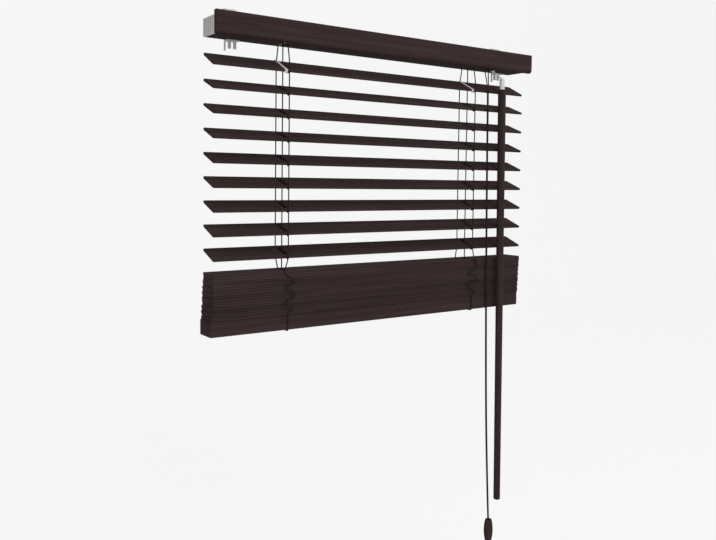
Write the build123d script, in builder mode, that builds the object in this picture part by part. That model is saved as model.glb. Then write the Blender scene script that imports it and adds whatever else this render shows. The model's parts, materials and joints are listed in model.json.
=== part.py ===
# Wooden venetian blind with 25 mm slats, half lowered: nine slats hang on the ladders, the rest lie gathered
# on the bottom rail. Millimetres. X runs along the blind, +Y points into the window, +Z is up.
# The origin is at the slats' mid-length, on the top front edge of the sash that carries the hooks.
import math
import os

from build123d import *

# Slats
slat_length = 400.0
slat_width = 25.0
slat_thickness = 2.5
slat_edge_radius = 0.6
slat_pitch = 22.8
slat_tilt = 21.5
top_slat_extra_tilt = 6.0
hanging_slats = 9
gathered_slats = 17
rung_gap = 0.1
cord_slot_length = 17.0
cord_slot_width = 5.6
cord_slot_corner = 1.6
ladder_inset = 78.0

# Gathered slats lie a little askew: each drifts from the one above, and shares of the wander are added
slat_drift = -0.12
slat_wander = 0.5
wander_shares = (0.0, 0.9, 0.5, -0.2, 0.8, -0.5, 0.3, -0.7, 0.6, -0.3, 0.2, 1.0, -0.6, 0.4, -0.8, 0.7, -0.1)
stack_gap = 15.75

# Bottom rail
rail_height = 15.0
rail_edge_radius = 1.2
rail_shift = -2.8
rail_bore_radius = 1.6
plug_radius = 4.0
plug_height = 7.0
plug_rim_radius = 5.5
plug_rim_height = 1.2
plug_cup_radius = 2.4

# Headrail
headrail_height = 17.0
headrail_depth = 25.0
headrail_wall = 0.8
headrail_lip = 3.5
headrail_corner_radius = 1.0
headrail_drop = 12.0
top_gap = 21.2
cap_plate = 1.5
cap_plug = 8.0
cap_corner_radius = 1.2
cap_grooves = 5
cap_groove_pitch = 4.0
cap_groove_width = 1.0
cap_groove_depth = 0.4
cap_groove_margin = 1.6

# Front board
board_overhang = 10.0
board_height = 21.5
board_thickness = 5.0
board_lower_radius = 3.5
board_upper_radius = 1.2
board_end_chamfer = 0.5
clip_width = 9.0
clip_thickness = 1.0
clip_drop = 3.0
clip_inset = 100.0

# Hooks over the sash
strap_thickness = 2.0
plate_thickness = 1.0
sash_grip = 19.0
hook_lip = 11.0
pad_thickness = 1.0
pad_height = 7.0
left_hook_inset = 28.0
right_hook_inset = 21.0
claw_thickness = 1.2
claw_drop = 2.4
shelf_reach = 6.0
thin_prong_width = 1.0
prong_width = 2.6
prong_gap = 3.0
prong_length = 7.5
thin_prong_length = 10.0

# Cords
cord_radius = 0.6
ladder_clearance = 0.3
ladder_knee_rise = 4.0
ladder_bend_radius = 30.0
lift_run_offset = 7.0
left_lift_height = 2.2
right_lift_height = 4.0
lift_bend_radius = 2.0
lift_turn_radius = 3.2
lift_cord_tail = 9.5

# Tilt shaft and its drums
rod_flats = 5.0
rod_height = 9.0
rod_overrun = 6.0
hex_clearance = 0.1
drum_radius = 7.2
drum_hub_radius = 3.4
drum_gap = 5.0
drum_flange = 2.4
journal_radius = 4.2
journal_length = 3.4
cradle_cheek = 2.5
cradle_half_width = 6.0
cradle_crown = 2.4
cradle_foot = 6.5
cradle_foot_height = 1.3
cradle_side_wall = 0.6
cradle_side_height = 3.2
ladder_slot_length = 21.6
ladder_slot_width = 6.0

# Tilter: worm gear, stem with a ball end and housing
gear_teeth = 21
gear_outer_radius = 4.2
tooth_depth = 0.8
tooth_root_width = 0.75
tooth_tip_width = 0.35
gear_width = 5.6
gear_hub_radius = 3.5
worm_radius = 1.7
worm_length = 5.0
worm_gap = 0.2
stem_lean = 55.0
stem_radius = 1.8
neck_radius = 0.8
neck_length = 16.0
ball_radius = 1.9
tilter_length = 14.0
tilter_side_gap = 2.7
tilter_height = 15.6
tilter_pocket_clearance = 0.6
stem_slot_length = 11.0
stem_slot_width = 5.0

# Wand
wand_inset = 40.7
wand_radius = 4.6
wand_foot_radius = 3.9
wand_length = 486.0
wand_chamfer = 1.0
wand_gap = 1.4
wand_lean = 0.6
sleeve_radius = 3.1
sleeve_wall = 0.9
sleeve_rim_rise = 0.2
sleeve_length = 12.4
spigot_radius = 1.9
spigot_length = 8.0

# Cord lock
lock_inset = 57.4
lock_length = 13.0
lock_side_gap = 1.2
lock_height = 13.5
lock_slot_length = 9.0
lock_slot_width = 3.4
lock_slot_inset = 3.0
roller_radius = 2.0
roller_length = 8.4
roller_lean = 60.0
roller_travel = 2.0
roller_height = 4.6
pull_slot_length = 11.0
pull_slot_width = 3.8

# Clips on the top slat
slat_clip_width = 2.8
slat_clip_thickness = 0.6
slat_clip_tab = 0.9
slat_clip_offset = -2.3

# Tassel
tassel_height = 25.5
tassel_end_radius = 3.8
tassel_belly_radius = 5.4
tassel_bore_radius = 1.7
tassel_bore_depth = 14.0

# Fits
running_clearance = 0.06
seat_clearance = 0.15
overrun = 1.0

# Centre line of the two pull cords and each cord's distance from it: x, y, z, spread
pull_route = (
    (142.7, -24.2, -18.0, 2.8),
    (142.6, -24.3, -26.0, 2.8),
    (142.4, -25.3, -34.0, 2.5),
    (141.7, -27.5, -44.0, 1.1),
    (141.2, -28.6, -60.0, 0.66),
    (141.4, -28.8, -92.0, 0.66),
    (142.2, -28.7, -156.0, 0.66),
    (144.2, -28.6, -276.0, 0.66),
    (146.6, -28.8, -386.0, 0.66),
    (150.0, -28.7, -480.0, 0.66),
    (155.9, -28.6, -574.0, 0.66),
)
tassel_top = -566.3

# Places worked out from the sizes above
slat_axis_y = -strap_thickness - headrail_depth / 2
headrail_top = -headrail_drop
headrail_bottom = headrail_top - headrail_height
headrail_floor = headrail_bottom + headrail_wall
headrail_front = slat_axis_y - headrail_depth / 2
channel_depth = headrail_depth - 2 * headrail_wall
channel_length = slat_length - 2 * cap_plate
slat_left = -slat_length / 2
ladder_x = slat_length / 2 - ladder_inset
ladder_places = (-ladder_x, ladder_x)
top_slat_z = headrail_bottom - top_gap
slat_sweep = math.hypot(slat_width / 2, slat_thickness / 2)
stack_top = top_slat_z - (hanging_slats - 1) * slat_pitch - stack_gap - slat_thickness / 2
stack_step = slat_thickness + rung_gap
rail_top = stack_top - gathered_slats * stack_step
rail_bottom = rail_top - rail_height
ladder_offset = slat_sweep + ladder_clearance + cord_radius
rod_z = headrail_bottom + rod_height
rod_corner_radius = rod_flats / 2 / math.cos(math.radians(30))
wand_x = slat_length / 2 - wand_inset
lock_x = slat_length / 2 - lock_inset
lock_cord_y = headrail_front + lock_slot_inset
wand_y = slat_axis_y - slat_sweep - wand_gap - wand_radius

# The stem leans out under the board, square to the shaft, and its worm lies under the gear
worm_distance = gear_outer_radius + worm_radius + worm_gap
stem_sin = math.sin(math.radians(stem_lean))
stem_cos = math.cos(math.radians(stem_lean))
stem_along = (slat_axis_y - wand_y + worm_distance * stem_cos) / stem_sin
ball_z = rod_z - worm_distance * stem_sin - stem_along * stem_cos
ball_centre = (wand_x, wand_y, ball_z)
stem_plane = Plane(origin=ball_centre, x_dir=(1, 0, 0), z_dir=(0, stem_sin, stem_cos))
stem_at_floor = (headrail_floor - ball_z) / stem_cos
stem_floor_y = wand_y + stem_at_floor * stem_sin
worm_start = stem_along - worm_length / 2
neck_start = ball_radius - neck_radius / 2
shaft_start = neck_start + neck_length

# The sleeve and the wand hang from the ball and lean out a little at the foot
wand_plane = Plane(origin=ball_centre).rotated((-wand_lean, 0, 0))
sleeve_bottom = sleeve_rim_rise - sleeve_length
wand_top = sleeve_bottom - seat_clearance


def save(piece, name):
    """Label a finished piece and write its STEP file."""
    piece.part.label = name
    export_step(piece.part, f"parts/{name}.step")


def make_slat(name, x, z, tilt):
    """One slat, turned about its own long axis, with a slot for the lift cord at each ladder."""
    plane = Plane(origin=(x, slat_axis_y, z)).rotated((tilt, 0, 0))
    with BuildPart() as slat:
        with BuildSketch(plane):
            Rectangle(slat_length, slat_width)
        extrude(amount=slat_thickness / 2, both=True)
        fillet(slat.edges().filter_by(Axis.X), slat_edge_radius)
        with BuildSketch(plane) as slots:
            with Locations(*((place, 0) for place in ladder_places)):
                Rectangle(cord_slot_width, cord_slot_length)
            chamfer(slots.vertices(), cord_slot_corner)
        extrude(amount=slat_thickness, both=True, mode=Mode.SUBTRACT)
    save(slat, name)


def make_cap(name, side):
    """End cap: a plate with upright grooves over the channel's end and a plug inside it."""
    inner_depth = channel_depth - 2 * seat_clearance
    inner_height = headrail_height - 2 * headrail_wall - 2 * seat_clearance
    groove_height = headrail_height - 2 * cap_groove_margin
    mouth = Plane.YZ.offset(side * channel_length / 2)
    with BuildPart() as cap:
        with BuildSketch(mouth):
            with Locations((slat_axis_y, headrail_bottom)):
                Rectangle(headrail_depth, headrail_height, align=(Align.CENTER, Align.MIN))
        extrude(amount=side * cap_plate)
        fillet(cap.edges().filter_by(Axis.X), cap_corner_radius)
        with BuildSketch(Plane.YZ.offset(side * slat_length / 2)):
            with Locations((slat_axis_y, headrail_bottom + headrail_height / 2)):
                with GridLocations(cap_groove_pitch, 0, cap_grooves, 1):
                    Rectangle(cap_groove_width, groove_height)
        extrude(amount=-side * cap_groove_depth, mode=Mode.SUBTRACT)
        with BuildSketch(mouth):
            with Locations((slat_axis_y, headrail_floor + seat_clearance)):
                Rectangle(inner_depth, inner_height, align=(Align.CENTER, Align.MIN))
        extrude(amount=-side * cap_plug)
    save(cap, name)


def make_hook(name, x):
    """Hook with a thin plate over the sash: claw and shelf hold the headrail, and a comb hangs below."""
    strap_width = thin_prong_width + 2 * prong_width + 2 * prong_gap
    left = x - strap_width / 2
    leg_bottom = headrail_bottom - thin_prong_length
    claw_reach = headrail_lip + seat_clearance + claw_thickness
    corner = (Align.MIN, Align.MIN)
    with BuildPart() as hook:
        with BuildSketch(Plane.YZ.offset(left)):
            with Locations((-strap_thickness, leg_bottom)):
                Rectangle(strap_thickness, plate_thickness - leg_bottom, align=corner)
            with Locations((-strap_thickness, 0)):
                Rectangle(strap_thickness + sash_grip + plate_thickness, plate_thickness, align=corner)
            with Locations((sash_grip, -hook_lip)):
                Rectangle(plate_thickness, hook_lip + plate_thickness, align=corner)
            with Locations((-strap_thickness, headrail_top)):
                Rectangle(claw_reach, claw_thickness, align=(Align.MAX, Align.MIN))
            with Locations((-strap_thickness - claw_reach, headrail_top - claw_drop)):
                Rectangle(claw_thickness, claw_drop + claw_thickness, align=corner)
            with Locations((-strap_thickness, headrail_bottom)):
                Rectangle(shelf_reach, claw_thickness, align=(Align.MAX, Align.MAX))
        extrude(amount=strap_width)
        outer_bends = hook.edges().filter_by(Axis.X).group_by(Axis.Z)[-1]
        fillet(outer_bends, plate_thickness)
        first_gap = left + thin_prong_width
        second_gap = first_gap + prong_gap + prong_width
        gap_top = headrail_bottom - claw_thickness
        with BuildSketch(Plane.XZ):
            with Locations((first_gap, gap_top), (second_gap, gap_top)):
                Rectangle(prong_gap, thin_prong_length, align=(Align.MIN, Align.MAX))
            with Locations((first_gap, headrail_bottom - prong_length)):
                Rectangle(strap_width, thin_prong_length, align=(Align.MIN, Align.MAX))
        extrude(amount=strap_thickness, mode=Mode.SUBTRACT)
    save(hook, name)


def make_drum(name, x):
    """Tilt drum: two flanges with the lift cord's way between them, and a journal at each end."""
    half = drum_gap / 2 + drum_flange + journal_length
    flange_start = drum_gap / 2
    with BuildPart() as drum:
        with BuildSketch(Plane.YZ.offset(x)):
            with Locations((slat_axis_y, rod_z)):
                Circle(drum_hub_radius)
        extrude(amount=half, both=True)
        for side in (-1, 1):
            with BuildSketch(Plane.YZ.offset(x + side * flange_start)):
                with Locations((slat_axis_y, rod_z)):
                    Circle(drum_radius)
            extrude(amount=side * drum_flange)
            with BuildSketch(Plane.YZ.offset(x + side * (flange_start + drum_flange))):
                with Locations((slat_axis_y, rod_z)):
                    Circle(journal_radius)
            extrude(amount=side * journal_length)
        with BuildSketch(Plane.YZ.offset(x)):
            with Locations((slat_axis_y, rod_z)):
                RegularPolygon(rod_corner_radius + hex_clearance, 6)
        extrude(amount=half, both=True, mode=Mode.SUBTRACT)
    save(drum, name)


def make_cradle(name, x):
    """Drum cradle: two bearing cheeks on feet that straddle the slot in the channel's floor."""
    inner_half_depth = channel_depth / 2 - seat_clearance
    cheek_start = drum_gap / 2 + drum_flange + seat_clearance
    foot_end = cheek_start + cradle_foot
    cheek_top = rod_z + journal_radius + cradle_crown
    with BuildPart() as cradle:
        for side in (-1, 1):
            with BuildSketch(Plane.XY.offset(headrail_floor)):
                with Locations((x + side * (cheek_start + foot_end) / 2, slat_axis_y)):
                    Rectangle(cradle_foot, 2 * inner_half_depth)
            extrude(amount=cradle_foot_height)
            with BuildSketch(Plane.YZ.offset(x + side * cheek_start)):
                with Locations((slat_axis_y, headrail_floor)):
                    Rectangle(2 * cradle_half_width, rod_z - headrail_floor, align=(Align.CENTER, Align.MIN))
                with Locations((slat_axis_y, rod_z)):
                    Circle(min(cradle_half_width, cheek_top - rod_z))
                    Circle(journal_radius + running_clearance, mode=Mode.SUBTRACT)
            extrude(amount=side * cradle_cheek)
            with BuildSketch(Plane.XY.offset(headrail_floor)):
                with Locations((x, slat_axis_y + side * (inner_half_depth - cradle_side_wall / 2))):
                    Rectangle(2 * foot_end, cradle_side_wall)
            extrude(amount=cradle_side_height)
    save(cradle, name)


def corner_radii(points):
    """Largest arc at each corner of a route: 0.45 of its shorter run over the tangent of half the turn."""
    run_share = 0.45
    places = [Vector(*point) for point in points]
    runs = [after - before for before, after in zip(places, places[1:])]
    return [
        run_share * min(first.length, second.length) / math.tan(math.radians(first.get_angle(second) / 2))
        for first, second in zip(runs, runs[1:])
    ]


def make_cord(name, routes):
    """Round cords along routes of straight runs and tangent arcs; each route is its points and its radii."""
    with BuildPart() as cord:
        for points, radii in routes:
            with BuildLine() as path:
                FilletPolyline(*points, radius=radii)
            with BuildSketch(Plane(origin=path.line @ 0, z_dir=path.line % 0)):
                Circle(cord_radius)
            sweep()
    save(cord, name)


os.makedirs("parts", exist_ok=True)

# Headrail: a channel with turned-in lips, slotted for the cords and the stem
with BuildPart() as headrail:
    with BuildSketch(Plane.YZ.offset(-channel_length / 2)):
        with Locations((slat_axis_y, headrail_bottom)):
            Rectangle(headrail_depth, headrail_height, align=(Align.CENTER, Align.MIN))
        with Locations((slat_axis_y, headrail_floor)):
            Rectangle(
                channel_depth,
                headrail_height - 2 * headrail_wall,
                align=(Align.CENTER, Align.MIN),
                mode=Mode.SUBTRACT,
            )
            Rectangle(
                headrail_depth - 2 * headrail_lip,
                headrail_height,
                align=(Align.CENTER, Align.MIN),
                mode=Mode.SUBTRACT,
            )
    extrude(amount=channel_length)
    fillet(headrail.edges().filter_by(Axis.X).group_by(Axis.Z)[0], headrail_corner_radius)
    with BuildSketch(Plane.XY.offset(headrail_bottom)):
        with Locations(*((place, slat_axis_y) for place in ladder_places)):
            SlotOverall(ladder_slot_length, ladder_slot_width, rotation=90)
        with Locations((wand_x, stem_floor_y)):
            SlotOverall(stem_slot_length, stem_slot_width, rotation=90)
        with Locations((lock_x, lock_cord_y)):
            SlotOverall(pull_slot_length, pull_slot_width)
    extrude(amount=headrail_wall + overrun, both=True, mode=Mode.SUBTRACT)
save(headrail, "headrail")

make_cap("end_cap_left", -1)
make_cap("end_cap_right", 1)

# Front board: flush with the left cap, past the right one, with a rounded lower edge
with BuildPart() as front_board:
    with BuildSketch(Plane.XY.offset(headrail_bottom)):
        with Locations((slat_left, headrail_front)):
            Rectangle(slat_length + board_overhang, board_thickness, align=(Align.MIN, Align.MAX))
    extrude(amount=board_height)
    front_edges = front_board.edges().filter_by(Axis.X).group_by(Axis.Y)[0].sort_by(Axis.Z)
    fillet(front_edges[0], board_lower_radius)
    fillet(front_edges[-1], board_upper_radius)
    end_edges = front_board.edges().filter_by(Axis.Z).group_by(Axis.Y)[0]
    chamfer(end_edges, board_end_chamfer)
save(front_board, "front_board")

# Board clips: each hooks over the channel's front lip and stands against the board's back
with BuildPart() as board_clips:
    lip_end = headrail_front + headrail_lip + seat_clearance
    clip_reach = lip_end + clip_thickness - headrail_front
    for side in (-1, 1):
        with BuildSketch(Plane.YZ.offset(side * (slat_length / 2 - clip_inset) - clip_width / 2)):
            with Locations((headrail_front, headrail_top)):
                Rectangle(clip_reach, clip_thickness, align=(Align.MIN, Align.MIN))
                Rectangle(
                    clip_thickness,
                    headrail_bottom + board_height - headrail_top - clip_thickness,
                    align=(Align.MIN, Align.MIN),
                )
            with Locations((lip_end, headrail_top - clip_drop)):
                Rectangle(clip_thickness, clip_drop + clip_thickness, align=(Align.MIN, Align.MIN))
        extrude(amount=clip_width)
save(board_clips, "board_clips")

hook_places = (slat_left + left_hook_inset, slat_length / 2 - right_hook_inset)
make_hook("hook_left", hook_places[0])
make_hook("hook_right", hook_places[1])

# Soft pads inside the hooks' rear lips
with BuildPart() as hook_pads:
    pad_width = 2 * prong_width + prong_gap
    with BuildSketch(Plane.XZ.offset(-sash_grip)):
        with Locations(*((place, -hook_lip) for place in hook_places)):
            Rectangle(pad_width, pad_height, align=(Align.CENTER, Align.MIN))
    extrude(amount=pad_thickness)
save(hook_pads, "hook_pads")

# Tilt shaft from the left drum to the tilter
with BuildPart() as tilt_rod:
    rod_left = -ladder_x - drum_gap / 2 - drum_flange - journal_length - rod_overrun
    rod_right = wand_x + tilter_length / 2 + rod_overrun
    with BuildSketch(Plane.YZ.offset(rod_left)):
        with Locations((slat_axis_y, rod_z)):
            RegularPolygon(rod_corner_radius, 6)
    extrude(amount=rod_right - rod_left)
save(tilt_rod, "tilt_rod")

for side_name, place in zip(("left", "right"), ladder_places):
    make_drum(f"tilt_drum_{side_name}", place)
    make_cradle(f"drum_cradle_{side_name}", place)

# Worm gear on the shaft
with BuildPart() as worm_gear:
    gear_root = gear_outer_radius - tooth_depth
    with BuildSketch(Plane.YZ.offset(wand_x)):
        with Locations((slat_axis_y, rod_z)):
            Circle(gear_root)
            with PolarLocations(gear_root - seat_clearance, gear_teeth):
                Polygon(
                    (0, -tooth_root_width / 2),
                    (tooth_depth + seat_clearance, -tooth_tip_width / 2),
                    (tooth_depth + seat_clearance, tooth_tip_width / 2),
                    (0, tooth_root_width / 2),
                    align=None,
                )
    extrude(amount=gear_width / 2, both=True)
    with BuildSketch(Plane.YZ.offset(wand_x)):
        with Locations((slat_axis_y, rod_z)):
            Circle(min(gear_hub_radius, gear_root))
    extrude(amount=tilter_length / 2, both=True)
    with BuildSketch(Plane.YZ.offset(wand_x)):
        with Locations((slat_axis_y, rod_z)):
            RegularPolygon(rod_corner_radius + hex_clearance, 6)
    extrude(amount=tilter_length / 2, both=True, mode=Mode.SUBTRACT)
save(worm_gear, "worm_gear")

# Tilter housing with the gear's pocket, its bearings and the stem's bore
with BuildPart() as tilter_housing:
    with BuildSketch(Plane.XY.offset(headrail_floor)):
        with Locations((wand_x, slat_axis_y)):
            Rectangle(tilter_length, channel_depth - 2 * tilter_side_gap)
    extrude(amount=tilter_height)
    with BuildSketch(Plane.YZ.offset(wand_x)):
        with Locations((slat_axis_y, rod_z)):
            Circle(gear_outer_radius + tilter_pocket_clearance)
    extrude(amount=gear_width / 2 + seat_clearance, both=True, mode=Mode.SUBTRACT)
    with BuildSketch(Plane.YZ.offset(wand_x)):
        with Locations((slat_axis_y, rod_z)):
            Circle(min(gear_hub_radius, gear_outer_radius - tooth_depth) + running_clearance)
    extrude(amount=tilter_length, both=True, mode=Mode.SUBTRACT)
    with BuildSketch(stem_plane.offset(stem_at_floor - tilter_height / 2)):
        Circle(stem_radius + running_clearance)
    extrude(
        amount=worm_start + worm_length + seat_clearance - stem_at_floor + tilter_height / 2,
        mode=Mode.SUBTRACT,
    )
save(tilter_housing, "tilter_housing")

# Stem: a ball, a neck, a shaft and the worm's core, all on the leaning axis
with BuildPart() as tilter_stem:
    with Locations(ball_centre):
        Sphere(ball_radius)
    with BuildSketch(stem_plane):
        Circle(neck_radius)
    extrude(amount=shaft_start + neck_radius)
    with BuildSketch(stem_plane.offset(shaft_start)):
        Circle(stem_radius)
    extrude(amount=worm_start - shaft_start)
    with BuildSketch(stem_plane.offset(worm_start)):
        Circle(worm_radius)
    extrude(amount=worm_length)
save(tilter_stem, "tilter_stem")

# Clear sleeve: a cup for the ball above and a bearing for the wand's spigot below
with BuildPart() as wand_sleeve:
    with BuildSketch(wand_plane.offset(sleeve_bottom)):
        Circle(sleeve_radius)
    extrude(amount=sleeve_length)
    with BuildSketch(wand_plane.offset(sleeve_bottom)):
        Circle(spigot_radius + running_clearance)
    extrude(amount=spigot_length + seat_clearance, mode=Mode.SUBTRACT)
    with BuildSketch(wand_plane.offset(sleeve_bottom + spigot_length)):
        Circle(sleeve_radius - sleeve_wall)
    extrude(amount=sleeve_length, mode=Mode.SUBTRACT)
save(wand_sleeve, "wand_sleeve")

# Wand: turned from one profile, a tapered rod with chamfered ends and a spigot that runs in the sleeve
wand_section = Plane(origin=ball_centre, x_dir=(1, 0, 0), z_dir=-wand_plane.y_dir)
with BuildPart() as wand_rod:
    with BuildSketch(wand_section):
        with BuildLine():
            wand_foot = wand_top - wand_length
            Polyline(
                (0, wand_top + spigot_length),
                (spigot_radius, wand_top + spigot_length),
                (spigot_radius, wand_top),
                (wand_radius - wand_chamfer, wand_top),
                (wand_radius, wand_top - wand_chamfer),
                (wand_foot_radius, wand_foot + wand_chamfer),
                (wand_foot_radius - wand_chamfer, wand_foot),
                (0, wand_foot),
                close=True,
            )
        make_face()
    revolve(axis=Axis(ball_centre, wand_plane.z_dir))
save(wand_rod, "wand_rod")

# Cord lock: the cords pass its front slot, a roller in a leaning pocket pinches them, the shaft runs through
roller_sin = math.sin(math.radians(roller_lean))
roller_cos = math.cos(math.radians(roller_lean))
roller_y = lock_cord_y + cord_radius + roller_radius + seat_clearance
roller_z = headrail_floor + roller_height
pocket_y = roller_y + roller_travel * roller_cos / 2
pocket_z = roller_z + roller_travel * roller_sin / 2
with BuildPart() as lock_housing:
    with BuildSketch(Plane.XY.offset(headrail_floor)):
        with Locations((lock_x, slat_axis_y)):
            Rectangle(lock_length, channel_depth - 2 * lock_side_gap)
    extrude(amount=lock_height)
    with BuildSketch(Plane.XY.offset(headrail_floor)):
        with Locations((lock_x, lock_cord_y)):
            SlotOverall(lock_slot_length, lock_slot_width)
    extrude(amount=lock_height, mode=Mode.SUBTRACT)
    with BuildSketch(Plane.YZ.offset(lock_x)):
        with Locations((pocket_y, pocket_z)):
            SlotCenterToCenter(roller_travel, 2 * (roller_radius + seat_clearance), rotation=roller_lean)
    extrude(amount=roller_length / 2 + seat_clearance, both=True, mode=Mode.SUBTRACT)
    with BuildSketch(Plane.YZ.offset(lock_x)):
        with Locations((slat_axis_y, rod_z)):
            Circle(rod_corner_radius + tilter_pocket_clearance)
    extrude(amount=lock_length, both=True, mode=Mode.SUBTRACT)
save(lock_housing, "lock_housing")

with BuildPart() as lock_roller:
    with BuildSketch(Plane.YZ.offset(lock_x)):
        with Locations((roller_y, roller_z)):
            Circle(roller_radius)
    extrude(amount=roller_length / 2, both=True)
    chamfer(lock_roller.edges().filter_by(GeomType.CIRCLE), seat_clearance)
save(lock_roller, "lock_roller")

# Hanging slats, and the clips that hold the top one to its ladders
for count in range(hanging_slats):
    extra_tilt = 0 if count else top_slat_extra_tilt
    make_slat(f"slat_{count + 1}", 0, top_slat_z - count * slat_pitch, slat_tilt + extra_tilt)

with BuildPart() as slat_clips:
    clip_turn = slat_tilt + top_slat_extra_tilt
    clip_depth = slat_width + 2 * seat_clearance + 2 * slat_clip_thickness
    clip_rise = slat_thickness / 2 + slat_clip_thickness
    for side in (-1, 1):
        clip_x = side * ladder_x + slat_clip_offset
        clip_plane = Plane(origin=(clip_x, slat_axis_y, top_slat_z)).rotated((clip_turn, 0, 0))
        with BuildSketch(clip_plane.offset(-slat_thickness / 2 - slat_clip_tab)):
            Rectangle(slat_clip_width, clip_depth)
        extrude(amount=slat_thickness / 2 + slat_clip_tab + clip_rise)
        with BuildSketch(clip_plane.offset(-slat_thickness / 2 - slat_clip_tab)):
            Rectangle(slat_clip_width, slat_width + 2 * seat_clearance)
        extrude(amount=slat_thickness + slat_clip_tab, mode=Mode.SUBTRACT)
save(slat_clips, "slat_clips")

# Gathered slats, each a little out of line with the next
for count in range(gathered_slats):
    gathered_x = count * slat_drift + wander_shares[count % len(wander_shares)] * slat_wander
    gathered_z = stack_top - slat_thickness / 2 - count * stack_step
    make_slat(f"gathered_slat_{count + 1:02d}", gathered_x, gathered_z, 0)

# Bottom rail with a bore for each lift cord and a wider one below it for the plug
with BuildPart() as bottom_rail:
    with BuildSketch(Plane.XY.offset(rail_bottom)):
        with Locations((rail_shift, slat_axis_y)):
            Rectangle(slat_length, slat_width)
    extrude(amount=rail_height)
    fillet(bottom_rail.edges().filter_by(Axis.X), rail_edge_radius)
    with BuildSketch(Plane.XY.offset(rail_bottom)):
        with Locations(*((place, slat_axis_y) for place in ladder_places)):
            Circle(rail_bore_radius)
    extrude(amount=rail_height, mode=Mode.SUBTRACT)
    with BuildSketch(Plane.XY.offset(rail_bottom)):
        with Locations(*((place, slat_axis_y) for place in ladder_places)):
            Circle(plug_radius + seat_clearance)
    extrude(amount=plug_height + seat_clearance, mode=Mode.SUBTRACT)
save(bottom_rail, "bottom_rail")

with BuildPart() as rail_plugs:
    with BuildSketch(Plane.XY.offset(rail_bottom)):
        with Locations(*((place, slat_axis_y) for place in ladder_places)):
            Circle(plug_rim_radius)
    extrude(amount=-plug_rim_height)
    with BuildSketch(Plane.XY.offset(rail_bottom)):
        with Locations(*((place, slat_axis_y) for place in ladder_places)):
            Circle(plug_radius)
            Circle(plug_cup_radius, mode=Mode.SUBTRACT)
    extrude(amount=plug_height)
save(rail_plugs, "rail_plugs")

# Ladder cords: from the drum's rim they fan out above the top slat and run down past both slat edges
rim_offset = drum_radius + cord_radius + ladder_clearance
ladder_end = rail_top - rail_height / 2
for side_name, place in zip(("left", "right"), ladder_places):
    ladder_routes = []
    for face in (-1, 1):
        points = (
            (place, slat_axis_y + face * rim_offset, rod_z),
            (place, slat_axis_y + face * ladder_offset, top_slat_z + ladder_knee_rise),
            (place, slat_axis_y + face * ladder_offset, ladder_end),
        )
        ladder_routes.append((points, [ladder_bend_radius]))
    make_cord(f"ladder_{side_name}", ladder_routes)

# Lift cords: up through the slats, along the channel behind the shaft and into the cord lock
lift_end = rail_bottom + lift_cord_tail
lift_run_y = slat_axis_y + lift_run_offset
for side_name, place, height in zip(("left", "right"), ladder_places, (left_lift_height, right_lift_height)):
    points = (
        (place, slat_axis_y, lift_end),
        (place, slat_axis_y, headrail_floor + height),
        (place, lift_run_y, headrail_floor + height),
        (lock_x - lock_length / 2, lift_run_y, headrail_floor + height),
    )
    make_cord(f"lift_cord_{side_name}", [(points, [lift_bend_radius, lift_turn_radius])])

# Pull cords: out of the lock's slot, together below the headrail and down to the tassel
for count, side in enumerate((-1, 1), start=1):
    points = [(x + side * spread, y, z) for x, y, z, spread in pull_route]
    radii = corner_radii(points)
    print(f"pull_cord_{count} radii", [round(radius, 1) for radius in radii])
    make_cord(f"pull_cord_{count}", [(points, radii)])

# Tassel: a turned wooden barrel with a bore for the cords and their knot
tassel_x, tassel_y = pull_route[-1][0], pull_route[-1][1]
tassel_plane = Plane(origin=(tassel_x, tassel_y, tassel_top), x_dir=(1, 0, 0), z_dir=(0, -1, 0))
with BuildPart() as tassel:
    with BuildSketch(tassel_plane):
        with BuildLine():
            belly = (tassel_belly_radius, -tassel_height / 2)
            Polyline((0, -tassel_height), (0, 0), (tassel_end_radius, 0))
            ThreePointArc((tassel_end_radius, 0), belly, (tassel_end_radius, -tassel_height))
            Line((tassel_end_radius, -tassel_height), (0, -tassel_height))
        make_face()
    revolve(axis=Axis((tassel_x, tassel_y, 0), (0, 0, 1)))
    with BuildSketch(Plane.XY.offset(tassel_top)):
        with Locations((tassel_x, tassel_y)):
            Circle(tassel_bore_radius)
    extrude(amount=-tassel_bore_depth, mode=Mode.SUBTRACT)
save(tassel, "tassel")
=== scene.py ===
"""Looks of a half-lowered wooden venetian blind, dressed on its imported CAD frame."""
import json
import logging
import math
from dataclasses import dataclass, field
from enum import Enum
from typing import Iterable, Sequence

import bmesh
import bpy
from mathutils import Matrix, Vector


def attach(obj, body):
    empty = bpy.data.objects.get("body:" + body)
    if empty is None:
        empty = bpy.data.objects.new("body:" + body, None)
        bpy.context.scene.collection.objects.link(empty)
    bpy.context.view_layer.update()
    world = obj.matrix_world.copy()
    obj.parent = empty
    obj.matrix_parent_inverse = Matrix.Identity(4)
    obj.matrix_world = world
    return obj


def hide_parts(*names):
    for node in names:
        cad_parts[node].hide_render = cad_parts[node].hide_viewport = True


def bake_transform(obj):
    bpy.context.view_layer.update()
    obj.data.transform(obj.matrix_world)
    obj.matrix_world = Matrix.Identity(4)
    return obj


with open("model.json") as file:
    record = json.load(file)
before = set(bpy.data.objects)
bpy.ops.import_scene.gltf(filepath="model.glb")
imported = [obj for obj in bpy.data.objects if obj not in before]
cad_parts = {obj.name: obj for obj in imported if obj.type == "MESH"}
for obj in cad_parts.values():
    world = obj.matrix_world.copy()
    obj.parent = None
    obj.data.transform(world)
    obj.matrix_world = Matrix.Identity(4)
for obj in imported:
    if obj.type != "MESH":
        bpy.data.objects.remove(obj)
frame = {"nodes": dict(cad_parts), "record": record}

LOG = logging.getLogger("blind")
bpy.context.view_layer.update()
MM = 0.001

Point = tuple[float, float, float]
Colour = tuple[float, float, float]
Rgba = tuple[float, float, float, float]
Tree = bpy.types.NodeTree
Socket = bpy.types.NodeSocket

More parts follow.
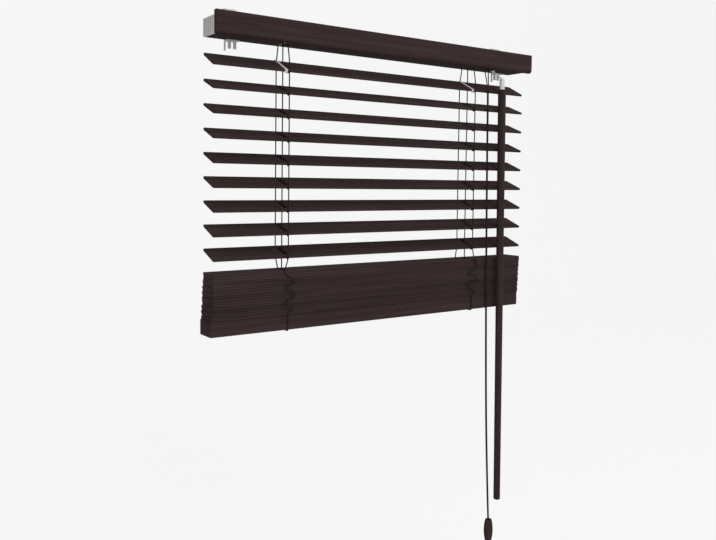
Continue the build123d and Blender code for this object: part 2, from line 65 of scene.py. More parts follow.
BLACK: Rgba = (0.0, 0.0, 0.0, 1.0)
WHITE: Rgba = (1.0, 1.0, 1.0, 1.0)

# Sockets of a Mix node for colours, by number, because its sockets for other data have the same names
MIX_FACTOR, MIX_FIRST, MIX_SECOND, MIX_RESULT = 0, 6, 7, 2


class SocketKind(Enum):
    """The kinds of socket that the effects use."""

    VECTOR = "NodeSocketVector"
    COLOUR = "NodeSocketColor"
    VALUE = "NodeSocketFloat"


class GrainRun(Enum):
    """The way that the fibres of a wooden piece run, as a scale of its coordinates."""

    ALONG_BLIND = (2.2, 95.0, 95.0)
    UPRIGHT = (110.0, 110.0, 2.6)


class Side(Enum):
    """The two ends of the blind, or two cords of a pair, as seen from the front."""

    LEFT = -1
    RIGHT = 1


class Face(Enum):
    """The two faces of the blind that a ladder's cords run down."""

    FRONT = -1
    BACK = 1


def rgba(colour: Colour) -> Rgba:
    """Give a colour an alpha of one."""
    return (*colour, 1.0)


def new_group(
    name: str,
    inputs: Sequence[tuple[str, SocketKind, object]],
    outputs: Sequence[tuple[str, SocketKind]],
) -> tuple[Tree, bpy.types.Node, bpy.types.Node]:
    """Start a shader node group.

    Args:
        name: The group's name.
        inputs: Name, kind and default of each input.
        outputs: Name and kind of each output.

    Returns:
        The group's tree, its input node and its output node.
    """
    tree = bpy.data.node_groups.new(name, "ShaderNodeTree")
    for label, kind, default in inputs:
        socket = tree.interface.new_socket(name=label, in_out="INPUT", socket_type=kind.value)
        if default is not None:
            socket.default_value = default
    for label, kind in outputs:
        tree.interface.new_socket(name=label, in_out="OUTPUT", socket_type=kind.value)
    return tree, tree.nodes.new("NodeGroupInput"), tree.nodes.new("NodeGroupOutput")


def noise(tree: Tree, place: Socket, scale: float, detail: float, distortion: float = 0.0) -> Socket:
    """Add a noise texture.

    Args:
        tree: The tree that it goes into.
        place: The coordinates that it reads.
        scale: The noise's scale.
        detail: The noise's detail.
        distortion: The noise's distortion.

    Returns:
        The noise's factor.
    """
    node = tree.nodes.new("ShaderNodeTexNoise")
    node.inputs["Scale"].default_value = scale
    node.inputs["Detail"].default_value = detail
    node.inputs["Distortion"].default_value = distortion
    tree.links.new(place, node.inputs["Vector"])
    return node.outputs["Fac"]


def mix_colour(tree: Tree, factor: Socket, first: Socket, second: Socket) -> Socket:
    """Mix two colours.

    Args:
        tree: The tree that the mix goes into.
        factor: The share of the second colour.
        first: The first colour.
        second: The second colour.

    Returns:
        The mixed colour.
    """
    node = tree.nodes.new("ShaderNodeMix")
    node.data_type = "RGBA"
    tree.links.new(factor, node.inputs[MIX_FACTOR])
    tree.links.new(first, node.inputs[MIX_FIRST])
    tree.links.new(second, node.inputs[MIX_SECOND])
    return node.outputs[MIX_RESULT]


def spread(tree: Tree, value: Socket, low: float, high: float, to_low: float, to_high: float) -> Socket:
    """Map a value from one range to another, held at its ends.

    Args:
        tree: The tree that the map goes into.
        value: The value to map.
        low: The lower end of the value's range.
        high: The upper end of the value's range.
        to_low: What the lower end becomes.
        to_high: What the upper end becomes.

    Returns:
        The mapped value.
    """
    node = tree.nodes.new("ShaderNodeMapRange")
    ends = {"From Min": low, "From Max": high, "To Min": to_low, "To Max": to_high}
    for label, number in ends.items():
        node.inputs[label].default_value = number
    tree.links.new(value, node.inputs["Value"])
    return node.outputs["Result"]


def combine(tree: Tree, operation: str, first: Socket, second: Socket | float) -> Socket:
    """Join two values by a math operation.

    Args:
        tree: The tree that the operation goes into.
        operation: The operation's name.
        first: The first value.
        second: The second value, or a plain number.

    Returns:
        The operation's result.
    """
    node = tree.nodes.new("ShaderNodeMath")
    node.operation = operation
    tree.links.new(first, node.inputs[0])
    if isinstance(second, float):
        node.inputs[1].default_value = second
    else:
        tree.links.new(second, node.inputs[1])
    return node.outputs[0]


@dataclass(frozen=True)
class NoiseLayer:
    """A noise of an effect, and the part of its range that is spread from zero to its top."""

    scale: float
    detail: float
    low: float
    high: float
    top: float = 1.0
    distortion: float = 0.0

    def add(self, tree: Tree, place: Socket) -> Socket:
        """Add the spread noise at the given coordinates and return its value."""
        raw = noise(tree, place, self.scale, self.detail, self.distortion)
        return spread(tree, raw, self.low, self.high, 0.0, self.top)


@dataclass
class Effects:
    """Shader node groups that several finishes share."""

    fibres: NoiseLayer = NoiseLayer(scale=2.4, detail=7.0, low=0.36, high=0.66, distortion=0.35)
    pores: NoiseLayer = NoiseLayer(scale=9.0, detail=3.0, low=0.60, high=0.72, top=0.75)
    tones: NoiseLayer = NoiseLayer(scale=0.35, detail=2.0, low=0.35, high=0.65)
    fibre_share: float = 0.6
    tone_share: float = 0.4
    pore_depth_share: float = 1.6
    dark_wood_rough: float = 0.80
    light_wood_rough: float = 0.68
    clouds: NoiseLayer = NoiseLayer(scale=55.0, detail=3.0, low=0.35, high=0.65)
    skin_scale: float = 1900.0
    skin_detail: float = 2.0
    braid_slants: tuple[float, float] = (-0.9, 0.9)
    braid_scale: float = 380.0

    def __post_init__(self) -> None:
        """Build each group once."""
        self.grain = self._grain()
        self.mottle = self._mottle()
        self.braid = self._braid()

    def _grain(self) -> Tree:
        """Stained wood: long fibres, fine open pores and slow changes of tone.

        Returns:
            The group's tree.
        """
        tree, given, result = new_group(
            "stained_grain",
            [("Place", SocketKind.VECTOR, None), ("Pore", SocketKind.COLOUR, BLACK),
             ("Dark", SocketKind.COLOUR, BLACK), ("Light", SocketKind.COLOUR, WHITE)],
            [("Color", SocketKind.COLOUR), ("Roughness", SocketKind.VALUE), ("Height", SocketKind.VALUE)],
        )
        place = given.outputs["Place"]
        fibre = self.fibres.add(tree, place)
        pore = self.pores.add(tree, place)
        tone = self.tones.add(tree, place)
        fibre_part = combine(tree, "MULTIPLY", fibre, self.fibre_share)
        tone_part = combine(tree, "MULTIPLY", tone, self.tone_share)
        body = combine(tree, "ADD", fibre_part, tone_part)
        colour = mix_colour(tree, body, given.outputs["Dark"], given.outputs["Light"])
        colour = mix_colour(tree, pore, colour, given.outputs["Pore"])
        rough = spread(tree, body, 0.0, 1.0, self.dark_wood_rough, self.light_wood_rough)
        depth = combine(tree, "MULTIPLY", pore, self.pore_depth_share)
        tree.links.new(colour, result.inputs["Color"])
        tree.links.new(rough, result.inputs["Roughness"])
        tree.links.new(combine(tree, "SUBTRACT", fibre, depth), result.inputs["Height"])
        return tree

    def _mottle(self) -> Tree:
        """Moulded, painted or bare metal surface: a fine skin and slow cloudiness.

        Returns:
            The group's tree.
        """
        tree, given, result = new_group(
            "skin_mottle",
            [("Place", SocketKind.VECTOR, None), ("Shade", SocketKind.COLOUR, BLACK),
             ("Base", SocketKind.COLOUR, WHITE), ("Rough Low", SocketKind.VALUE, None),
             ("Rough High", SocketKind.VALUE, None)],
            [("Color", SocketKind.COLOUR), ("Roughness", SocketKind.VALUE), ("Height", SocketKind.VALUE)],
        )
        place = given.outputs["Place"]
        cloud = self.clouds.add(tree, place)
        skin = noise(tree, place, self.skin_scale, self.skin_detail)
        colour = mix_colour(tree, cloud, given.outputs["Shade"], given.outputs["Base"])
        rough = tree.nodes.new("ShaderNodeMapRange")
        tree.links.new(skin, rough.inputs["Value"])
        tree.links.new(given.outputs["Rough Low"], rough.inputs["To Min"])
        tree.links.new(given.outputs["Rough High"], rough.inputs["To Max"])
        tree.links.new(colour, result.inputs["Color"])
        tree.links.new(rough.outputs["Result"], result.inputs["Roughness"])
        tree.links.new(skin, result.inputs["Height"])
        return tree

    def _braid(self) -> Tree:
        """Braided cord: strands that cross at a slant all round it.

        Returns:
            The group's tree.
        """
        tree, given, result = new_group(
            "cord_braid",
            [("Place", SocketKind.VECTOR, None), ("Gap", SocketKind.COLOUR, BLACK),
             ("Strand", SocketKind.COLOUR, WHITE)],
            [("Color", SocketKind.COLOUR), ("Height", SocketKind.VALUE)],
        )
        waves = []
        for slant in self.braid_slants:
            turn = tree.nodes.new("ShaderNodeMapping")
            turn.inputs["Rotation"].default_value = (slant, slant, 0.0)
            tree.links.new(given.outputs["Place"], turn.inputs["Vector"])
            wave = tree.nodes.new("ShaderNodeTexWave")
            wave.bands_direction = "Z"
            wave.inputs["Scale"].default_value = self.braid_scale
            tree.links.new(turn.outputs["Vector"], wave.inputs["Vector"])
            waves.append(wave.outputs["Fac"])
        strand = combine(tree, "MAXIMUM", *waves)
        colour = mix_colour(tree, strand, given.outputs["Gap"], given.outputs["Strand"])
        tree.links.new(colour, result.inputs["Color"])
        tree.links.new(strand, result.inputs["Height"])
        return tree


class FinishBuilder:
    """Common steps of every finish: object coordinates, one group, a bump and the shader."""

    def __init__(self, name: str, group: Tree, scale: Point = (1.0, 1.0, 1.0)) -> None:
        """Start a material around a shared effect.

        Args:
            name: The material's name.
            group: The effect's node group.
            scale: Scale of the object coordinates that the effect reads.
        """
        self.material = bpy.data.materials.new(name)
        self.material.use_nodes = True
        self.tree = self.material.node_tree
        self.shader = self.tree.nodes["Principled BSDF"]
        coordinates = self.tree.nodes.new("ShaderNodeTexCoord")
        mapping = self.tree.nodes.new("ShaderNodeMapping")
        mapping.inputs["Scale"].default_value = scale
        self.effect = self.tree.nodes.new("ShaderNodeGroup")
        self.effect.node_tree = group
        self.link(coordinates.outputs["Object"], mapping.inputs["Vector"])
        self.link(mapping.outputs["Vector"], self.effect.inputs["Place"])
        self.link(self.effect.outputs["Color"], self.shader.inputs["Base Color"])
        if "Roughness" in self.effect.outputs:
            self.link(self.effect.outputs["Roughness"], self.shader.inputs["Roughness"])

    def link(self, source: Socket, target: Socket) -> None:
        """Join two sockets."""
        self.tree.links.new(source, target)

    def colours(self, **named: Colour) -> None:
        """Set the effect's colour inputs by name."""
        for label, colour in named.items():
            self.effect.inputs[label].default_value = rgba(colour)

    def bump(self, strength: float, height: float) -> None:
        """Raise the surface by the effect's height.

        Args:
            strength: Strength of the bump.
            height: Height of the bump in metres.
        """
        node = self.tree.nodes.new("ShaderNodeBump")
        node.inputs["Strength"].default_value = strength
        node.inputs["Distance"].default_value = height
        self.link(self.effect.outputs["Height"], node.inputs["Height"])
        self.link(node.outputs["Normal"], self.shader.inputs["Normal"])


@dataclass(frozen=True)
class WoodFinish:
    """Dark stained and lacquered wood."""

    name: str
    dark: Colour
    light: Colour
    run: GrainRun
    pore: Colour = (0.012, 0.008, 0.0078)
    gloss: float = 0.03
    bump_strength: float = 0.25
    bump_height: float = 0.08 * MM

    def build(self, effects: Effects) -> bpy.types.Material:
        """Make the material from the shared grain.

        Args:
            effects: The shared node groups.

        Returns:
            The material.
        """
        made = FinishBuilder(self.name, effects.grain, self.run.value)
        made.colours(Pore=self.pore, Dark=self.dark, Light=self.light)
        made.shader.inputs["Specular IOR Level"].default_value = self.gloss
        made.bump(self.bump_strength, self.bump_height)
        return made.material


@dataclass(frozen=True)
class SkinFinish:
    """Painted metal, bare metal or moulded plastic with a fine skin."""

    name: str
    shade: Colour
    base: Colour
    rough: tuple[float, float]
    metal: float = 0.0
    gloss: float = 0.4
    clear: float = 0.0
    bump_strength: float = 0.12
    bump_height: float = 0.03 * MM

    def build(self, effects: Effects) -> bpy.types.Material:
        """Make the material from the shared skin.

        Args:
            effects: The shared node groups.

        Returns:
            The material.
        """
        made = FinishBuilder(self.name, effects.mottle)
        made.colours(Shade=self.shade, Base=self.base)
        smoothest, roughest = self.rough
        made.effect.inputs["Rough Low"].default_value = smoothest
        made.effect.inputs["Rough High"].default_value = roughest
        made.shader.inputs["Metallic"].default_value = self.metal
        made.shader.inputs["Specular IOR Level"].default_value = self.gloss
        made.shader.inputs["Transmission Weight"].default_value = self.clear
        made.bump(self.bump_strength, self.bump_height)
        return made.material


@dataclass(frozen=True)
class CordFinish:
    """Braided polyester cord."""

    name: str
    gap: Colour
    strand: Colour
    rough: float = 0.8
    gloss: float = 0.03
    bump_strength: float = 0.5
    bump_height: float = 0.12 * MM

    def build(self, effects: Effects) -> bpy.types.Material:
        """Make the material from the shared braid.

        Args:
            effects: The shared node groups.

        Returns:
            The material.
        """
        made = FinishBuilder(self.name, effects.braid)
        made.colours(Gap=self.gap, Strand=self.strand)
        made.shader.inputs["Roughness"].default_value = self.rough
        made.shader.inputs["Specular IOR Level"].default_value = self.gloss
        made.bump(self.bump_strength, self.bump_height)
        return made.material


SLAT_WOOD = WoodFinish(
    "slat_wood", dark=(0.029, 0.0185, 0.0180), light=(0.050, 0.0335, 0.0328), run=GrainRun.ALONG_BLIND)
TURNED_WOOD = WoodFinish(
    "turned_wood", dark=(0.026, 0.0168, 0.0160), light=(0.044, 0.0300, 0.0290), run=GrainRun.UPRIGHT)
CHANNEL_PAINT = SkinFinish(
    "channel_paint", shade=(0.030, 0.0190, 0.0185), base=(0.040, 0.0265, 0.0258), rough=(0.68, 0.8),
    gloss=0.02)
CAP_GREY = SkinFinish(
    "cap_grey", shade=(0.42, 0.415, 0.415), base=(0.47, 0.465, 0.465), rough=(0.45, 0.62))
HOOK_PAINT = SkinFinish(
    "hook_paint", shade=(0.57, 0.57, 0.57), base=(0.65, 0.65, 0.65), rough=(0.4, 0.55))
PAD_RUBBER = SkinFinish(
    "pad_rubber", shade=(0.035, 0.035, 0.035), base=(0.055, 0.055, 0.055), rough=(0.75, 0.9))
CLIP_GREY = SkinFinish(
    "clip_grey", shade=(0.58, 0.53, 0.51), base=(0.66, 0.61, 0.59), rough=(0.35, 0.5))
SHAFT_STEEL = SkinFinish(
    "shaft_steel", shade=(0.5, 0.5, 0.51), base=(0.6, 0.6, 0.61), rough=(0.26, 0.4), metal=1.0)
WHITE_NYLON = SkinFinish(
    "white_nylon", shade=(0.66, 0.66, 0.64), base=(0.74, 0.74, 0.72), rough=(0.4, 0.55))
CLEAR_PLASTIC = SkinFinish(
    "clear_plastic", shade=(0.80, 0.80, 0.80), base=(0.86, 0.86, 0.86), rough=(0.1, 0.2), clear=0.4)
ROLLER_BRASS = SkinFinish(
    "roller_brass", shade=(0.5, 0.36, 0.15), base=(0.62, 0.46, 0.21), rough=(0.25, 0.4), metal=1.0)
PLUG_BROWN = SkinFinish(
    "plug_brown", shade=(0.02, 0.014, 0.013), base=(0.03, 0.021, 0.02), rough=(0.5, 0.65))
DARK_CORD = CordFinish(
    "dark_cord", gap=(0.009, 0.0068, 0.0066), strand=(0.029, 0.0203, 0.0198))
SLOT_FINISHES: dict[str, WoodFinish | SkinFinish | CordFinish] = {
    "slat_wood": SLAT_WOOD,
    "turned_wood": TURNED_WOOD,
    "channel_metal": CHANNEL_PAINT,
    "cap_plastic": CAP_GREY,
    "hook_metal": HOOK_PAINT,
    "pad_rubber": PAD_RUBBER,
    "clip_plastic": CLIP_GREY,
    "shaft_steel": SHAFT_STEEL,
    "mechanism_plastic": WHITE_NYLON,
    "clear_plastic": CLEAR_PLASTIC,
    "roller_brass": ROLLER_BRASS,
    "plug_plastic": PLUG_BROWN,
    "cord": DARK_CORD,
}


class Palette:
    """Every material of the blind, by the record's slot."""

    def __init__(self) -> None:
        """Build the effects and then each finish."""
        effects = Effects()
        self.by_slot = {slot: finish.build(effects) for slot, finish in SLOT_FINISHES.items()}

    def dress_nodes(self) -> None:
        """Give every CAD node the material of its slot."""
        for entry in frame["record"]["subparts"]:
            mesh = frame["nodes"][entry["node"]].data
            mesh.materials.clear()
            mesh.materials.append(self.by_slot[entry["material_slot"]])
            LOG.info("%s in %s", entry["node"], entry["material_slot"])


def add_object(name: str, data: bpy.types.ID) -> bpy.types.Object:
    """Put data into the scene as a new object.

    Args:
        name: The object's name.
        data: Its mesh, curve, lamp or camera.

    Returns:
        The object.
    """
    made = bpy.data.objects.new(name, data)
    bpy.context.scene.collection.objects.link(made)
    return made


def smooth(mesh: bpy.types.Mesh) -> None:
    """Shade all of a mesh's faces smooth."""
    mesh.polygons.foreach_set("use_smooth", [True] * len(mesh.polygons))


@dataclass(frozen=True)
class RoundCord:
    """A round cord along one or more smooth routes, and how finely it is divided."""

    radius: float
    round_steps: int = 3
    along_steps: int = 10
    order: int = 3

    def curve(self, name: str, routes: Iterable[Sequence[Point]]) -> bpy.types.Object:
        """Make the cord as a curve with one smooth spline for each route.

        Args:
            name: The object's name.
            routes: Control points of each spline, in metres.

        Returns:
            The curve object.
        """
        data = bpy.data.curves.new(name, "CURVE")
        data.dimensions = "3D"
        data.bevel_depth = self.radius
        data.bevel_resolution = self.round_steps
        data.resolution_u = self.along_steps
        data.use_fill_caps = True
        for route in routes:
            spline = data.splines.new("NURBS")
            spline.points.add(len(route) - 1)
            for point, place in zip(spline.points, route):
                point.co = (*place, 1.0)
            spline.order_u = self.order
            spline.use_endpoint_u = True
        return add_object(name, data)

    def mesh(self, name: str, routes: Iterable[Sequence[Point]]) -> bpy.types.Object:
        """Make the cord as a mesh.

        Args:
            name: The object's name.
            routes: Control points of each run of the cord, in metres.

        Returns:
            The mesh object.
        """
        line = self.curve(name, routes)
        graph = bpy.context.evaluated_depsgraph_get()
        data = bpy.data.meshes.new_from_object(line.evaluated_get(graph))
        bpy.data.objects.remove(line)
        smooth(data)
        return add_object(name, data)


@dataclass
class PullCords:
    """The two pull cords that hang from the lock to the tassel."""

    material: bpy.types.Material
    diameter: float = 1.2 * MM
    length: float = 0.557
    # The pair's middle and half its spacing, from the lock down to the tassel, in metres
    route: tuple[tuple[float, float, float, float], ...] = (
        (0.1427, -0.0242, -0.018, 0.0028),
        (0.1426, -0.0242, -0.026, 0.0028),
        (0.1425, -0.0246, -0.034, 0.0027),
        (0.1417, -0.0275, -0.044, 0.0011),
        (0.1412, -0.0286, -0.060, 0.0008),
        (0.1414, -0.0288, -0.092, 0.0008),
        (0.1422, -0.0287, -0.156, 0.0008),
        (0.1442, -0.0286, -0.276, 0.0008),
        (0.1466, -0.0288, -0.386, 0.0008),
        (0.1500, -0.0287, -0.480, 0.0008),
        (0.1559, -0.0286, -0.574, 0.00066),
    )

    def build(self) -> None:
        for count, side in enumerate(Side, start=1):
            points = [(x + side.value * gap, y, z) for x, y, z, gap in self.route]
            cord = RoundCord(self.diameter / 2).curve(f"pull_cord_braid_{count}", [points])
            cord.data.materials.append(self.material)
            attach(cord, "pull_cord")
            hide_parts(f"pull_cord_{count}")
            LOG.info("pull cord %d", count)


@dataclass
class Ladders:
    """The ladder cords, their slack loops on the gathered slats and the rungs under the hanging ones."""

    material: bpy.types.Material
    reach: float = 122.0 * MM
    axis_y: float = -14.5 * MM
    cord_radius: float = 0.6 * MM
    edge: float = 13.462 * MM
    rim: float = 8.1 * MM
    shaft_z: float = -20.0 * MM
    knee_z: float = -46.2 * MM
    top_slat_z: float = -50.2 * MM
    pitch: float = 22.8 * MM
    slats: int = 9
    tilt: float = 21.5
    top_extra_tilt: float = 6.0
    stack_top: float = -249.6 * MM
    slide_start: float = -238.0 * MM
    # Slack of the gathered ladders, down the stack: sideways, outwards and height from the stack's top, in mm
    front_slack: dict[Side, tuple[Point, ...]] = field(default_factory=lambda: {
        Side.LEFT: (
            (-4.5, 0.3, -1.0), (-3.0, 0.9, -4.0), (0.5, 1.6, -6.5), (4.5, 2.4, -8.0), (6.5, 2.0, -11.5),
            (3.5, 0.9, -14.0), (-1.0, 0.8, -14.5), (-3.5, 1.8, -17.5), (-0.5, 2.8, -21.0), (3.5, 2.6, -20.5),
            (7.0, 1.6, -24.0), (5.5, 0.7, -28.0), (0.5, 1.0, -28.5), (-4.0, 1.8, -30.5), (-5.5, 2.6, -34.5),
            (-2.0, 2.4, -37.0), (2.5, 1.4, -36.0), (5.0, 1.0, -39.0), (1.5, 0.7, -41.5), (-1.0, 0.4, -43.5),
            (0.0, 0.2, -47.0)),
        Side.RIGHT: (
            (3.0, 0.3, -1.0), (5.5, 0.9, -4.5), (8.0, 1.8, -7.0), (6.0, 2.6, -10.5), (1.5, 2.2, -12.0),
            (-3.5, 1.2, -11.5), (-6.5, 0.7, -15.0), (-3.0, 1.4, -18.5), (2.0, 2.4, -18.0), (6.5, 2.9, -21.0),
            (7.5, 2.0, -25.0), (3.0, 0.9, -27.0), (-2.5, 0.8, -26.0), (-7.0, 1.6, -29.0), (-8.0, 2.4, -33.0),
            (-4.5, 2.2, -35.5), (-0.5, 1.3, -34.5), (3.5, 0.9, -37.0), (2.0, 0.6, -40.5), (-0.8, 0.4, -43.0),
            (0.0, 0.2, -47.0)),
    })
    # How the slack at the back differs from that at the front: turned about and flatter
    back_flip: float = -0.7
    back_bulge: float = 0.35
    # The cords' ends, round the rail's lower edge to its plug: inwards and height from the stack's top, in mm
    rail_wrap: tuple[tuple[float, float], ...] = (
        (0.1, -52.0), (0.25, -56.0), (0.25, -59.85), (3.4, -59.85), (8.15, -59.85))
    rung_radius: float = 0.6 * MM
    # Where each strand of a rung leaves the ladder's cord and where it passes the lift cord, sideways
    strands: tuple[tuple[float, float], ...] = ((-0.2 * MM, 1.45 * MM), (0.4 * MM, 2.9 * MM))
    # Half a rung's width, its height from the slat's middle, where its ends rise to, and its straight share
    rung_half: float = 12.95 * MM
    rung_under: float = -1.87 * MM
    rung_rise: float = 0.3 * MM
    rung_straight_share: float = 0.8

    def _cord_route(self, side: Side, face: Face) -> list[Point]:
        """Control points of one ladder cord.

        Args:
            side: The blind's end that the ladder is at.
            face: The face of the slats that the cord runs down.

        Returns:
            The points from the drum's rim down to the plug under the bottom rail, in metres.
        """
        x = side.value * self.reach
        lowest = self.top_slat_z - (self.slats - 1) * self.pitch
        drop = [
            (self.rim, self.shaft_z),
            ((self.rim + self.edge) / 2, (self.knee_z + self.shaft_z) / 2),
            (self.edge, self.knee_z),
            (self.edge, self.top_slat_z),
            (self.edge, self.top_slat_z - self.pitch),
            (self.edge, (self.top_slat_z + lowest) / 2),
            (self.edge, lowest),
            (self.edge, self.slide_start),
        ]
        points = [(x, self.axis_y + face.value * out, z) for out, z in drop]
        flip, bulge = (1.0, 1.0) if face is Face.FRONT else (self.back_flip, self.back_bulge)
        for across, out, height in self.front_slack[side]:
            y = self.axis_y + face.value * (self.edge + bulge * out * MM)
            points.append((x + flip * across * MM, y, self.stack_top + height * MM))
        for inwards, height in self.rail_wrap:
            y = self.axis_y + face.value * (self.edge - inwards * MM)
            points.append((x, y, self.stack_top + height * MM))
        return points

    def build_cords(self) -> None:
        """Make each ladder's two cords, which give between the headrail and the sliding stack."""
        for side in Side:
            name = side.name.lower()
            routes = [self._cord_route(side, face) for face in Face]
            ladder = RoundCord(self.cord_radius).mesh(f"ladder_braid_{name}", routes)
            ladder.data.materials.append(self.material)
            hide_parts(f"ladder_{name}")
            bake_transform(ladder)
            LOG.info("ladder at the %s", name)

    def _rung_route(self, side: Side, start: float, beside: float) -> list[Point]:
        """Control points of one strand of a rung, about its slat's untilted axis.

        Args:
            side: The blind's end that the rung is at.
            start: Where the strand leaves the ladder's cords, sideways.
            beside: Where it passes the lift cord, sideways.

        Returns:
            The points from the back cord to the front one, in metres.
        """
        near = side.value * self.reach + start
        far = side.value * self.reach + beside
        half, under, rise = self.rung_half, self.rung_under, self.rung_rise
        straight = half * self.rung_straight_share
        return [(near, half, rise), (near, half, under), (far, straight, under), (far, 0, under),
                (far, -straight, under), (near, -half, under), (near, -half, rise)]

    def build_rungs(self) -> None:
        """Make the two thin cords of each rung, which lie under a slat and tilt with it."""
        for count in range(self.slats):
            angle = self.tilt if count else self.tilt + self.top_extra_tilt
            turn = Matrix.Rotation(math.radians(angle), 4, "X")
            shift = Matrix.Translation((0, self.axis_y, self.top_slat_z - count * self.pitch))
            flat = [self._rung_route(side, *strand) for side in Side for strand in self.strands]
            routes = [[tuple(shift @ turn @ Vector(point)) for point in route] for route in flat]
            rung = RoundCord(self.rung_radius).mesh(f"rungs_{count + 1}", routes)
            rung.data.materials.append(self.material)
            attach(rung, f"slat_{count + 1}")
            LOG.info("rungs under slat %d", count + 1)


@dataclass(frozen=True)
class Lamp:
    """A soft square lamp that faces the blind's middle."""

    name: str
    place: Point
    size: float
    watts: float
    target: Point = (0.0, 0.0, -0.2)

    def build(self) -> None:
        """Add the lamp and turn it to its target."""
        data = bpy.data.lights.new(self.name, "AREA")
        data.size = self.size
        data.energy = self.watts
        made = add_object(self.name, data)
        aim = Vector(self.target) - Vector(self.place)
        made.matrix_world = Matrix.Translation(self.place) @ aim.to_track_quat("-Z", "Y").to_matrix().to_4x4()


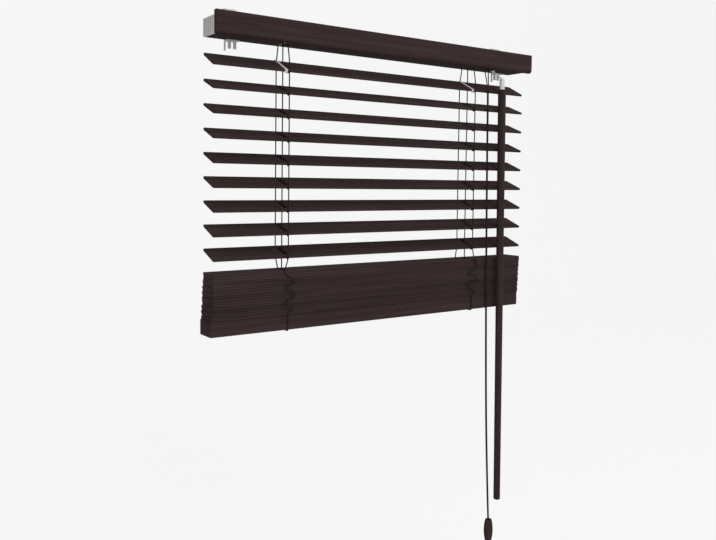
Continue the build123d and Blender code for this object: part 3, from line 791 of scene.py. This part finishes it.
@dataclass
class Studio:
    """Floor, backdrop, lamps, world and the camera at the photograph's angle."""

    image_width: float = 716.0
    focal_px: float = 768.9
    centre_drop_px: float = 45.0
    sensor_width: float = 36.0
    clip_start: float = 0.01
    yaw: float = 34.65
    pitch: float = -3.02
    roll: float = 0.63
    eye: Point = (-0.4926, -0.6835, -0.1649)
    floor_z: float = -0.76
    backdrop_y: float = 2.4
    half_size: float = 6.0
    bend_radius: float = 0.8
    bend_steps: int = 12
    touch: float = 1e-6
    paper_colour: Colour = (0.86, 0.86, 0.86)
    paper_rough: float = 0.9
    sky_strength: float = 0.62
    white_share: float = 0.8
    lamps: tuple[Lamp, ...] = (
        Lamp("key_lamp", place=(-0.3, -2.0, 0.9), size=1.4, watts=22.0),
        Lamp("fill_lamp", place=(1.6, -1.2, 0.2), size=1.6, watts=3.0),
    )

    def camera(self) -> None:
        """Place the camera."""
        data = bpy.data.cameras.new("fitted_camera")
        data.sensor_width = self.sensor_width
        data.lens = self.focal_px / self.image_width * data.sensor_width
        data.shift_y = -self.centre_drop_px / self.image_width
        data.clip_start = self.clip_start
        made = add_object("fitted_camera", data)
        yaw, pitch, roll = (math.radians(angle) for angle in (self.yaw, self.pitch, self.roll))
        forward = Vector((math.sin(yaw) * math.cos(pitch), math.cos(yaw) * math.cos(pitch), math.sin(pitch)))
        right = Vector((math.cos(yaw), -math.sin(yaw), 0.0))
        up = right.cross(forward)
        turned_right = math.cos(roll) * right + math.sin(roll) * up
        turned_up = math.cos(roll) * up - math.sin(roll) * right
        turn = Matrix((turned_right, turned_up, -forward)).transposed().to_4x4()
        made.matrix_world = Matrix.Translation(self.eye) @ turn
        bpy.context.scene.camera = made

    def _at_fold(self, place: Vector) -> bool:
        """Tell whether a point lies where the floor meets the backdrop."""
        return abs(place.z - self.floor_z) + abs(place.y - self.backdrop_y) < self.touch

    def sweep(self) -> None:
        """Make the floor and the backdrop as one bent sheet of paper."""
        mesh = bpy.data.meshes.new("studio_sweep")
        shape = bmesh.new()
        back = shape.verts.new((-self.half_size, self.backdrop_y, self.floor_z + self.half_size))
        fold = shape.verts.new((-self.half_size, self.backdrop_y, self.floor_z))
        near = shape.verts.new((-self.half_size, -self.half_size, self.floor_z))
        edges = [shape.edges.new((back, fold)), shape.edges.new((fold, near))]
        swept = bmesh.ops.extrude_edge_only(shape, edges=edges)
        moved = [item for item in swept["geom"] if isinstance(item, bmesh.types.BMVert)]
        bmesh.ops.translate(shape, verts=moved, vec=(2 * self.half_size, 0, 0))
        corner = [edge for edge in shape.edges if all(self._at_fold(vert.co) for vert in edge.verts)]
        bmesh.ops.bevel(shape, geom=corner, offset=self.bend_radius, segments=self.bend_steps, profile=0.5,
                        affect="EDGES", material=-1)
        bmesh.ops.recalc_face_normals(shape, faces=shape.faces)
        shape.to_mesh(mesh)
        shape.free()
        smooth(mesh)
        sheet = add_object("studio_sweep", mesh)
        mesh.materials.append(self.paper())

    def paper(self) -> bpy.types.Material:
        """Make the pale paper of the floor and the backdrop.

        Returns:
            The material.
        """
        made = bpy.data.materials.new("studio_paper")
        made.use_nodes = True
        shader = made.node_tree.nodes["Principled BSDF"]
        shader.inputs["Base Color"].default_value = rgba(self.paper_colour)
        shader.inputs["Roughness"].default_value = self.paper_rough
        self.whiten(made.node_tree, shader.outputs["BSDF"], "ShaderNodeEmission")
        return made

    def sky(self) -> None:
        """Make the pale world."""
        world = bpy.data.worlds.new("studio_world")
        world.use_nodes = True
        background = world.node_tree.nodes["Background"]
        background.inputs["Color"].default_value = WHITE
        background.inputs["Strength"].default_value = self.sky_strength
        self.whiten(world.node_tree, background.outputs["Background"], "ShaderNodeBackground")
        bpy.context.scene.world = world

    def whiten(self, tree: Tree, lit: Socket, glow_kind: str) -> None:
        """Make a surrounding look paler, also in reflections and through clear plastic, with no more light.

        Args:
            tree: The material's or the world's nodes.
            lit: The shader socket that lights the blind.
            glow_kind: The node type that gives the pale look.
        """
        rays = tree.nodes.new("ShaderNodeLightPath")
        glow = tree.nodes.new(glow_kind)
        glow.inputs["Color"].default_value = WHITE
        blend = tree.nodes.new("ShaderNodeMixShader")
        seen = combine(tree, "MAXIMUM", rays.outputs["Is Camera Ray"], rays.outputs["Is Glossy Ray"])
        seen = combine(tree, "MAXIMUM", seen, rays.outputs["Is Transmission Ray"])
        tree.links.new(combine(tree, "MULTIPLY", seen, self.white_share), blend.inputs["Fac"])
        tree.links.new(lit, blend.inputs[1])
        tree.links.new(glow.outputs[0], blend.inputs[2])
        output = next(node for node in tree.nodes if node.bl_idname.startswith("ShaderNodeOutput"))
        tree.links.new(blend.outputs["Shader"], output.inputs["Surface"])

    def build(self) -> None:
        """Make everything around the blind."""
        self.sweep()
        self.sky()
        for lamp in self.lamps:
            lamp.build()
        self.camera()
        bpy.context.scene.view_settings.view_transform = "Standard"
        LOG.info("studio")


def main() -> None:
    """Build and dress the blind, add its cords and rungs, then build the studio around it."""
    logging.basicConfig(level=logging.INFO, format="%(name)s: %(message)s")
    palette = Palette()
    palette.dress_nodes()
    PullCords(palette.by_slot["cord"]).build()
    ladders = Ladders(palette.by_slot["cord"])
    ladders.build_cords()
    ladders.build_rungs()
    Studio().build()


if __name__ == "__main__":
    main()
